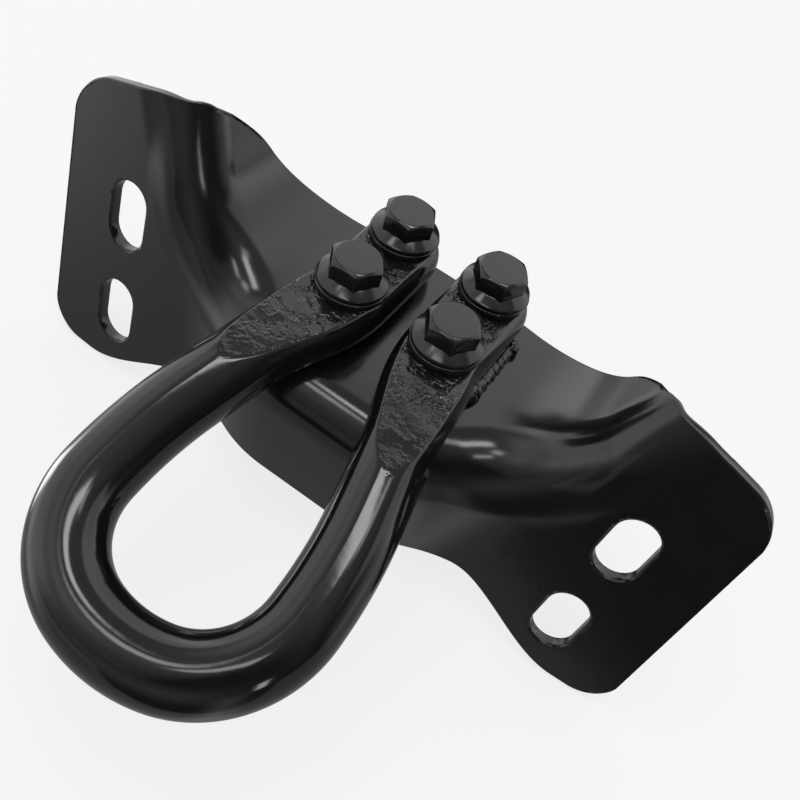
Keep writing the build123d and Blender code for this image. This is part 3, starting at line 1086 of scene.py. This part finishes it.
@dataclass(frozen=True)
class Fasteners(SubAssembly):
    """The four flange bolts with their washers and nuts, in mm and radians."""

    finish: ClassVar[Slot] = Slot.BOLT
    places: tuple[tuple[float, float, float], ...] = (
        (-20.0, -17.5, math.radians(1.5)), (-20.0, 17.5, math.radians(-2.0)),
        (20.0, -17.5, math.radians(0.5)), (20.0, 17.5, math.radians(5.0)))
    across_flats: float = 18.0
    corner_rounding: float = 0.5
    head_top: float = 12.9
    top_radius: float = 8.2
    chamfer: float = math.radians(30.0)
    chamfer_edge: float = 0.22
    flange_radius: float = 13.0
    flange_bottom: float = 2.5
    flange_top: float = 4.3
    cone_radius: float = 9.9
    cone_top: float = 6.1
    profile_rounding: float = 0.35
    thread_radius: float = 6.0
    thread_start: float = -20.0
    thread_pitch: float = 1.75
    tip: float = -37.5
    washer_radius: float = 13.5
    washer_rounding: float = 0.3
    nut_top: float = -21.1
    nut_bottom: float = -33.0
    sharp_angle: float = math.radians(38.0)
    turn_steps: int = 96
    thread_steps: int = 48

    def hexagon(self, corner_steps: int = 5, flat_steps: int = 9) -> np.ndarray:
        """Outline a hexagon with slightly rounded corners.

        Args:
            corner_steps: How many points each corner gets.
            flat_steps: How many points each flat has, with its two ends.

        Returns:
            The outline's points.
        """
        inner = (self.across_flats / 2 - self.corner_rounding) / math.cos(math.pi / 6)

        def on_corner(middle: float, angle: float) -> tuple[float, float]:
            """Give a point of the corner whose middle lies at an angle."""
            return (inner * math.cos(middle) + self.corner_rounding * math.cos(angle),
                    inner * math.sin(middle) + self.corner_rounding * math.sin(angle))

        points = []
        for middle in (k * math.pi / 3 for k in range(6)):
            for angle in np.linspace(middle - math.pi / 6, middle + math.pi / 6, corner_steps):
                points.append(on_corner(middle, angle))
            following = middle + math.pi / 3
            a, b = np.array(points[-1]), np.array(on_corner(following, following - math.pi / 6))
            points += [tuple(a + (b - a) * t) for t in np.linspace(0, 1, flat_steps)[1:-1]]
        return np.array(points)

    def head(self, bottom: float, top: float, sign: float) -> Solid:
        """Make a hexagon with a turned chamfer on its outer end.

        Args:
            bottom: The height of its root.
            top: The height of its outer end.
            sign: 1 where it points up, -1 where it points down.

        Returns:
            The points and the faces.
        """
        outline = self.hexagon()
        radius = np.hypot(outline[:, 0], outline[:, 1])
        limit, edge, slope = self.top_radius, self.chamfer_edge, math.tan(self.chamfer)

        def cone(r: np.ndarray | float) -> np.ndarray:
            """Give the chamfer's height at a radius."""
            return top - sign * np.maximum(r - limit, 0.0) * slope

        halfway = limit + (radius - edge - limit) * 0.5
        levels = (
            (radius, bottom),
            (radius, cone(radius) - sign * edge),
            (radius - 0.06, cone(radius) - sign * edge * 0.35),
            (radius - edge, cone(radius - edge) - sign * 0.01),
            (halfway, cone(halfway)),
            (limit + 0.18, cone(limit + 0.18)),
            (limit - 0.05, top - sign * 0.02),
            (limit - 0.35, top),
            (limit * 0.5, top),
        )
        points = [np.column_stack([outline * (r / radius)[:, None], np.broadcast_to(z, radius.shape)])
                  for r, z in levels]
        count = len(outline)
        last = (len(levels) - 1) * count
        faces = []
        for first in range(0, last, count):
            faces += band(first, first + count, count)
        faces.append(tuple(range(last, last + count)))
        if sign < 0:
            faces = [face[::-1] for face in faces]
        return np.concatenate(points), faces

    def gather(self, name: str, solids: list[Solid]) -> bpy.types.Object:
        """Put copies of some solids at the four places.

        Args:
            name: The piece's name.
            solids: The points and faces of each solid.

        Returns:
            The piece.
        """
        points: list[np.ndarray] = []
        faces: Faces = []
        start = 0
        for x, y, turn in self.places:
            c, s = math.cos(turn), math.sin(turn)
            for own, own_faces in solids:
                moved_x, moved_y = c * own[:, 0] - s * own[:, 1] + x, s * own[:, 0] + c * own[:, 1] + y
                points.append(np.column_stack([moved_x, moved_y, own[:, 2]]))
                faces += [tuple(v + start for v in face) for face in own_faces]
                start += len(own)
        piece = mesh_piece(name, np.concatenate(points), faces)
        piece.data.set_sharp_from_angle(angle=self.sharp_angle)
        return piece

    def bolts(self) -> bpy.types.Object:
        """Make the bolts: head, coned flange, and a threaded shank with a chamfered tip."""
        flange = rounded([
            (self.thread_radius, self.cone_top + 0.4), (self.cone_radius - 0.6, self.cone_top + 0.15),
            (self.flange_radius - 0.5, self.flange_top), (self.flange_radius, self.flange_top - 0.35),
            (self.flange_radius, self.flange_bottom), (self.thread_radius, self.flange_bottom),
        ], self.profile_rounding)
        depth, run_out = 0.54 * self.thread_pitch, 1.0
        shank = [(self.thread_radius, self.flange_bottom), (self.thread_radius, self.thread_start)]
        z = self.thread_start - self.thread_pitch
        while z > self.tip + run_out:
            shank += [(self.thread_radius - depth, z + self.thread_pitch / 2), (self.thread_radius, z)]
            z -= self.thread_pitch
        shank += [(self.thread_radius - 0.2, self.tip + 0.9), (self.thread_radius - 1.0, self.tip)]
        shank.append((0.01, self.tip))
        head = self.head(self.cone_top - 0.3, self.head_top, 1.0)
        return self.gather("bolts", [head, lathe(flange, self.turn_steps), lathe(shank, self.thread_steps)])

    def washers(self) -> bpy.types.Object:
        """Make the washers, each with the slight burr and roll that stamping leaves."""
        bore = self.thread_radius + 0.5
        profile = rounded([
            (bore, self.flange_bottom), (self.washer_radius - 0.25, self.flange_bottom),
            (self.washer_radius, self.flange_bottom - 0.4), (self.washer_radius - 0.12, 0.35),
            (self.washer_radius - 0.45, 0.0), (bore, 0.0), (bore, self.flange_bottom),
        ], self.washer_rounding)
        return self.gather("washer_rings", [lathe(profile, self.turn_steps)])

    def nuts(self) -> bpy.types.Object:
        """Make the flange nuts under the plate."""
        flange = rounded([
            (self.thread_radius + 0.1, self.nut_top), (self.flange_radius, self.nut_top),
            (self.flange_radius, self.nut_top - 1.9), (self.cone_radius, self.nut_top - 3.5),
            (self.thread_radius + 0.6, self.nut_top - 3.7),
        ], self.profile_rounding)
        points, faces = lathe(flange, self.turn_steps)
        return self.gather("nuts", [(points, [face[::-1] for face in faces]), self.nut_body()])

    def nut_body(self) -> Solid:
        """Make a nut's hexagon, open round the thread.

        Returns:
            The points and the faces.
        """
        points, faces = self.head(self.nut_top - 3.4, self.nut_bottom, -1.0)
        count, base = len(self.hexagon()), len(points)
        bore = points[-count:].copy()
        bore[:, :2] *= (self.thread_radius + 0.1) / np.hypot(bore[:, 0], bore[:, 1])[:, None]
        deep = bore.copy()
        deep[:, 2] = self.nut_top
        walls = band(base - count, base, count, turned=True) + band(base, base + count, count, turned=True)
        return np.concatenate([points, bore, deep]), faces[:-1] + walls

    def build(self) -> dict[str, bpy.types.Object]:
        """Make the bolts, the washers and the nuts."""
        return {"flange_bolts": self.bolts(), "washers": self.washers(), "flange_nuts": self.nuts()}


@dataclass(frozen=True)
class SoftLight:
    """A rectangular lamp that looks at a point of the part.

    Attributes:
        name: The lamp's name.
        direction: Where it stands, seen from the part.
        distance: How far away it stands, in metres.
        size: Its width and height, in metres.
        radiance: How bright its face is, where 1 is white.
    """

    name: str
    direction: tuple[float, float, float]
    distance: float
    size: tuple[float, float]
    radiance: float

    def build(self, target: Vector) -> bpy.types.Object:
        """Make the lamp.

        Args:
            target: The point that it looks at.

        Returns:
            The lamp object.
        """
        data = bpy.data.lights.new(self.name, "AREA")
        data.shape = "RECTANGLE"
        data.size, data.size_y = self.size
        data.energy = self.radiance * math.pi * self.size[0] * self.size[1]
        lamp = bpy.data.objects.new(self.name, data)
        place = target + Vector(self.direction).normalized() * self.distance
        turn = (target - place).to_track_quat("-Z", "Y").to_matrix().to_4x4()
        lamp.matrix_world = Matrix.Translation(place) @ turn
        bpy.context.scene.collection.objects.link(lamp)
        return lamp


@dataclass(frozen=True)
class Reflection:
    """A soft-edged rectangle of light that only the part's gloss shows.

    Attributes:
        name: What it stands for in a studio.
        azimuth: Its direction in plan, in degrees from the front, positive to the right.
        elevation: Its height above the horizon, in degrees.
        spread: Half its width and half its height, in degrees.
        level: How bright it is, where 1 is white.
        softness: How wide its soft edge is, where 1 is the surround's radius.
    """

    name: str
    azimuth: float
    elevation: float
    spread: tuple[float, float]
    level: float
    softness: float

    def values(self) -> dict[str, object]:
        """Give what the soft box group's inputs take.

        Returns:
            A direction or a number for each input.
        """
        azimuth, elevation = math.radians(self.azimuth), math.radians(self.elevation)
        level = math.cos(elevation)
        middle = Vector((math.sin(azimuth) * level, -math.cos(azimuth) * level, math.sin(elevation)))
        right = Vector((math.cos(azimuth), math.sin(azimuth), 0.0))
        half_width, half_height = (math.sin(math.radians(angle)) for angle in self.spread)
        return {
            "Middle": middle, "Right": right, "Top": middle.cross(right), "Half Width": half_width,
            "Half Height": half_height, "Softness": self.softness, "Level": self.level,
        }


def soft_box_group() -> bpy.types.NodeTree:
    """Make a soft-edged rectangle on the inside of the surround.

    Returns:
        A group that adds the rectangle's light to the level it is given.
    """
    directions = {"Middle": None, "Right": None, "Top": None}
    numbers = {"Half Width": 0.2, "Half Height": 0.2, "Softness": 0.1, "Level": 1.0, "Before": 0.0}
    group = EffectGroup(Effect.SOFT_BOX, directions | numbers, "After")
    direction = group.add("VectorMath", {0: group.place()}, operation="NORMALIZE").outputs[0]

    def along(axis: str) -> bpy.types.NodeSocket:
        """Measure how far the direction points along one of the rectangle's axes."""
        inputs = {0: direction, 1: group.given(axis)}
        return group.add("VectorMath", inputs, operation="DOT_PRODUCT").outputs["Value"]

    def window(axis: str, half: str) -> bpy.types.NodeSocket:
        """Fade from 1 inside the rectangle to 0 outside it, along one axis.

        Args:
            axis: The name of the input that holds the axis.
            half: The name of the input that holds half the size along it.

        Returns:
            The fade.
        """
        inside = group.math("SUBTRACT", group.given(half), group.math("ABSOLUTE", along(axis)))
        edge = group.math("ADD", group.math("DIVIDE", inside, group.given("Softness")), 0.5, clamp=True)
        easing = group.math("SUBTRACT", 3.0, group.math("MULTIPLY", edge, 2.0))
        return group.math("MULTIPLY", group.math("MULTIPLY", edge, edge), easing)

    facing = group.math("GREATER_THAN", along("Middle"), 0.0)
    shape = group.math("MULTIPLY", window("Right", "Half Width"), window("Top", "Half Height"))
    light = group.math("MULTIPLY", group.math("MULTIPLY", shape, facing), group.given("Level"))
    return group.finish(group.math("ADD", light, group.given("Before")))


class Surround:
    """A studio seen only in the part's gloss: white walls, soft boxes and a dark side."""

    PATCHES = (
        Reflection("left_wall", -93, 7, (46, 26), 1.2, 0.3),
        Reflection("back_upper", -157, 74, (45, 38), 0.42, 0.42),
        Reflection("back_wall", 172, 33, (54, 20), 1.1, 0.12),
        Reflection("low_back", -140, -24, (20, 9), 0.22, 0.1),
        Reflection("front_left", -12, 14, (48, 14), 0.36, 0.51),
        Reflection("floor", 27, -86, (85, 51), 0.34, 0.04),
        Reflection("left_box", -94, -18, (7, 12), 6.0, 0.12),
        Reflection("overhead_box", 180, 86.4, (15.5, 4), 8.0, 0.045),
        Reflection("overhead_left", -77, 47, (26, 15), 0.85, 0.35),
        Reflection("overhead_near", -51, 71, (4, 4), 5.0, 0.08),
        Reflection("overhead_front", 4, 71, (9, 2.5), 5.0, 0.05),
        Reflection("overhead_right", 115, 70, (5, 4), 3.5, 0.08),
        Reflection("low_front", 44, -31, (6, 36), 0.42, 0.26),
        Reflection("back_right", 128, 4, (26, 14), 0.8, 0.42),
        Reflection("right_slit", 57, 12, (2.5, 6), 6.0, 0.05),
        Reflection("upper_front", -22, 54, (15, 23), 0.3, 0.21),
    )

    def light(self, dark: float = 0.04) -> bpy.types.Material:
        """Make the surround's light.

        Args:
            dark: How bright the dark side is.

        Returns:
            The material, in which each patch adds its light to the ones before it.
        """
        material = bpy.data.materials.new("surround_light")
        material.use_nodes = True
        pad = NodePad(material.node_tree)
        nodes = material.node_tree.nodes
        nodes.remove(nodes["Principled BSDF"])
        box = soft_box_group()
        level: object = dark
        for patch in self.PATCHES:
            values = patch.values() | {"Before": level}
            level = pad.add("Group", values, node_tree=box, label=patch.name).outputs["After"]
        glow = pad.add("Emission", {"Strength": level})
        pad.fill(nodes["Material Output"].inputs["Surface"], glow.outputs[0])
        material.cycles.emission_sampling = "NONE"
        return material

    def build(self, middle: Vector, radius: float = 2.0) -> None:
        """Make the shell that carries the light.

        Args:
            middle: The middle of the part.
            radius: The shell's radius, in metres.
        """
        shell = bmesh.new()
        bmesh.ops.create_icosphere(shell, subdivisions=4, radius=radius)
        mesh = bpy.data.meshes.new("surround")
        shell.to_mesh(mesh)
        shell.free()
        mesh.shade_smooth()
        mesh.materials.append(self.light())
        surround = bpy.data.objects.new("surround", mesh)
        surround.location = middle
        surround.visible_camera = False
        surround.visible_diffuse = False
        surround.visible_shadow = False
        surround.visible_transmission = False
        bpy.context.scene.collection.objects.link(surround)


def seen_directly(pad: NodePad) -> bpy.types.NodeSocket:
    """Tell the rays that show a surface from the rays that light the part.

    Args:
        pad: The material's or the world's own nodes.

    Returns:
        A socket that is 1 for camera, glossy and transmission rays, and 0 for the rest.
    """
    rays = pad.add("LightPath", {}).outputs
    seen = pad.math("MAXIMUM", rays["Is Camera Ray"], rays["Is Glossy Ray"])
    return pad.math("MAXIMUM", seen, rays["Is Transmission Ray"])


@dataclass(frozen=True)
class Studio:
    """The pale floor, the world, the lamp and what the part's gloss shows.

    Attributes:
        world_light: How bright the world is for the rays that light the part.
        floor_glow: How much of the floor is plain white where it is seen.
        floor_shade: The floor's linear grey.
        floor_reach: How far the floor reaches to each side, in metres.
        floor_gap: How far below the part it lies, in metres.
    """

    world_light: float = 0.7
    floor_glow: float = 0.75
    floor_shade: float = 0.93
    floor_reach: float = 3.0
    floor_gap: float = 0.0002

    def build(self) -> None:
        """Build the studio round the part."""
        low, high = (Vector(corner) for corner in cad_box)
        target = (low + high) / 2
        self.world()
        self.floor(low.z - self.floor_gap)
        lamp = SoftLight("overhead_box", (-0.18, 0.0, 0.98), 0.9, (0.5, 0.5), 1.6).build(target)
        lamp.visible_glossy = False
        Surround().build(target)

    def world(self) -> None:
        """Light everything evenly and show white to the camera."""
        world = bpy.data.worlds.new("studio_world")
        world.use_nodes = True
        pad = NodePad(world.node_tree)
        level = pad.add("MapRange", {"Value": seen_directly(pad), "To Min": self.world_light, "To Max": 1.0})
        background = world.node_tree.nodes["Background"]
        pad.fill(background.inputs["Color"], (1.0, 1.0, 1.0, 1.0))
        pad.fill(background.inputs["Strength"], level.outputs["Result"])
        bpy.context.scene.world = world

    def floor(self, level: float) -> None:
        """Lay a pale floor that keeps the part's shadow.

        Args:
            level: The floor's height, in metres.
        """
        material = bpy.data.materials.new("floor_white")
        material.use_nodes = True
        pad = NodePad(material.node_tree)
        nodes = material.node_tree.nodes
        shader = nodes["Principled BSDF"]
        pad.fill(shader.inputs["Base Color"], (self.floor_shade, self.floor_shade, self.floor_shade, 1.0))
        pad.fill(shader.inputs["Roughness"], 0.9)
        pad.fill(shader.inputs["Specular IOR Level"], 0.0)
        share = pad.math("MULTIPLY", seen_directly(pad), self.floor_glow)
        white = pad.add("Emission", {})
        mix = pad.add("MixShader", {0: share, 1: shader.outputs[0], 2: white.outputs[0]})
        pad.fill(nodes["Material Output"].inputs["Surface"], mix.outputs[0])
        mesh = bpy.data.meshes.new("floor")
        reach = self.floor_reach
        corners = [(-reach, -reach, 0), (reach, -reach, 0), (reach, reach, 0), (-reach, reach, 0)]
        mesh.from_pydata(corners, [], [(0, 1, 2, 3)])
        mesh.materials.append(material)
        floor = bpy.data.objects.new("floor", mesh)
        floor.location.z = level
        floor.visible_glossy = False
        bpy.context.scene.collection.objects.link(floor)


@dataclass(frozen=True)
class Viewpoint:
    """The photograph's camera.

    Attributes:
        place: Where the camera stands, in metres.
        turn: Its rotation as XYZ angles, in degrees.
        lens: The focal length, in mm.
        frame_width: The width of the frame that the focal length belongs to, in mm.
    """

    place: tuple[float, float, float] = (0.0718837, -0.2253733, 0.2174944)
    turn: tuple[float, float, float] = (38.1628, -13.7084, 32.8124)
    lens: float = 40.0
    frame_width: float = 36.0

    def build(self) -> None:
        """Make the camera and look through it."""
        data = bpy.data.cameras.new("camera")
        data.sensor_width = self.frame_width
        data.lens = self.lens
        data.clip_start = 0.01
        camera = bpy.data.objects.new("camera", data)
        camera.location = self.place
        camera.rotation_euler = [math.radians(angle) for angle in self.turn]
        bpy.context.scene.collection.objects.link(camera)
        bpy.context.scene.camera = camera


def main() -> None:
    """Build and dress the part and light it."""
    logging.basicConfig(level=logging.INFO, format="%(name)s: %(message)s")
    bpy.context.scene.view_settings.view_transform = "Standard"
    paintwork = Paintwork()
    for assembly in (PressedBracket(), TowLoop(), WeldBeads(), Fasteners()):
        assembly.install(paintwork)
    Studio().build()
    Viewpoint().build()


if __name__ == "__main__":
    main()
